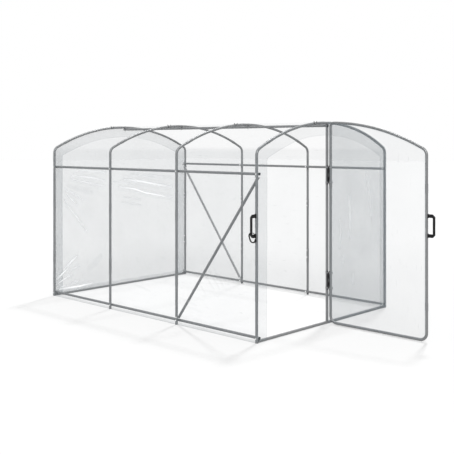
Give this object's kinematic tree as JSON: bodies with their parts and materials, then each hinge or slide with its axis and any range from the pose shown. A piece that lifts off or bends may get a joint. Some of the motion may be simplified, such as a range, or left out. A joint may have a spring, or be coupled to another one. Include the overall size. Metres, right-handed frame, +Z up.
{
  "type": "polytunnel greenhouse",
  "caption": "Walk-in polytunnel greenhouse: arched tube hoops joined by rails under a clear film cover, with a half-width film door hinged on a centre post.",
  "frame": {"origin": "foot of the front leg that the door shuts against, on the ground at the leg's centre line", "axes": "+X out through the doorway along the tunnel, +Y across the tunnel to the far side, +Z up"},
  "size_m": [4.1341, 2.0941, 1.9029],
  "materials": {
    "hoop_tube": "galvanised, satin",
    "rail_tube": "galvanised, satin",
    "film": "clear film, glossy and slightly creased",
    "black_fittings": "black, satin"
  },
  "bodies": {
    "frame": {"front_hoop_lower_legs": "hoop_tube", "front_hoop_middle_legs": "hoop_tube", "front_hoop_shoulders": "hoop_tube", "front_hoop_bows": "hoop_tube", "second_hoop_lower_legs": "hoop_tube", "second_hoop_middle_legs": "hoop_tube", "second_hoop_shoulders": "hoop_tube", "second_hoop_bows": "hoop_tube", "third_hoop_lower_legs": "hoop_tube", "third_hoop_middle_legs": "hoop_tube", "third_hoop_shoulders": "hoop_tube", "third_hoop_bows": "hoop_tube", "back_hoop_lower_legs": "hoop_tube", "back_hoop_middle_legs": "hoop_tube", "back_hoop_shoulders": "hoop_tube", "back_hoop_bows": "hoop_tube", "ridge_bar": "rail_tube", "near_base_rail": "rail_tube", "far_base_rail": "rail_tube", "near_purlin": "rail_tube", "far_purlin": "rail_tube", "front_sill": "rail_tube", "back_sill": "rail_tube", "near_brace": "rail_tube", "far_brace": "rail_tube", "door_post": "hoop_tube", "roof_film": "film", "near_side_film": "film", "far_side_film": "film", "back_film": "film", "front_film": "film", "lower_hinge_post_half": "black_fittings", "upper_hinge_post_half": "black_fittings", "frame_handle": "black_fittings", "snap_hook": "black_fittings"},
    "door": {"door_top_bow": "hoop_tube", "door_hinge_stile": "hoop_tube", "door_free_stile": "hoop_tube", "door_bottom_bow": "hoop_tube", "door_film": "film", "lower_hinge_door_half": "black_fittings", "upper_hinge_door_half": "black_fittings", "door_handle": "black_fittings"}
  },
  "joints": [
    {"name": "door_hinge", "type": "hinge", "parent": "frame", "child": "door", "pos_m": [0.022, 0.992, 0], "axis": [0, 0, 1], "range_deg": [-90, 25]}
  ]
}
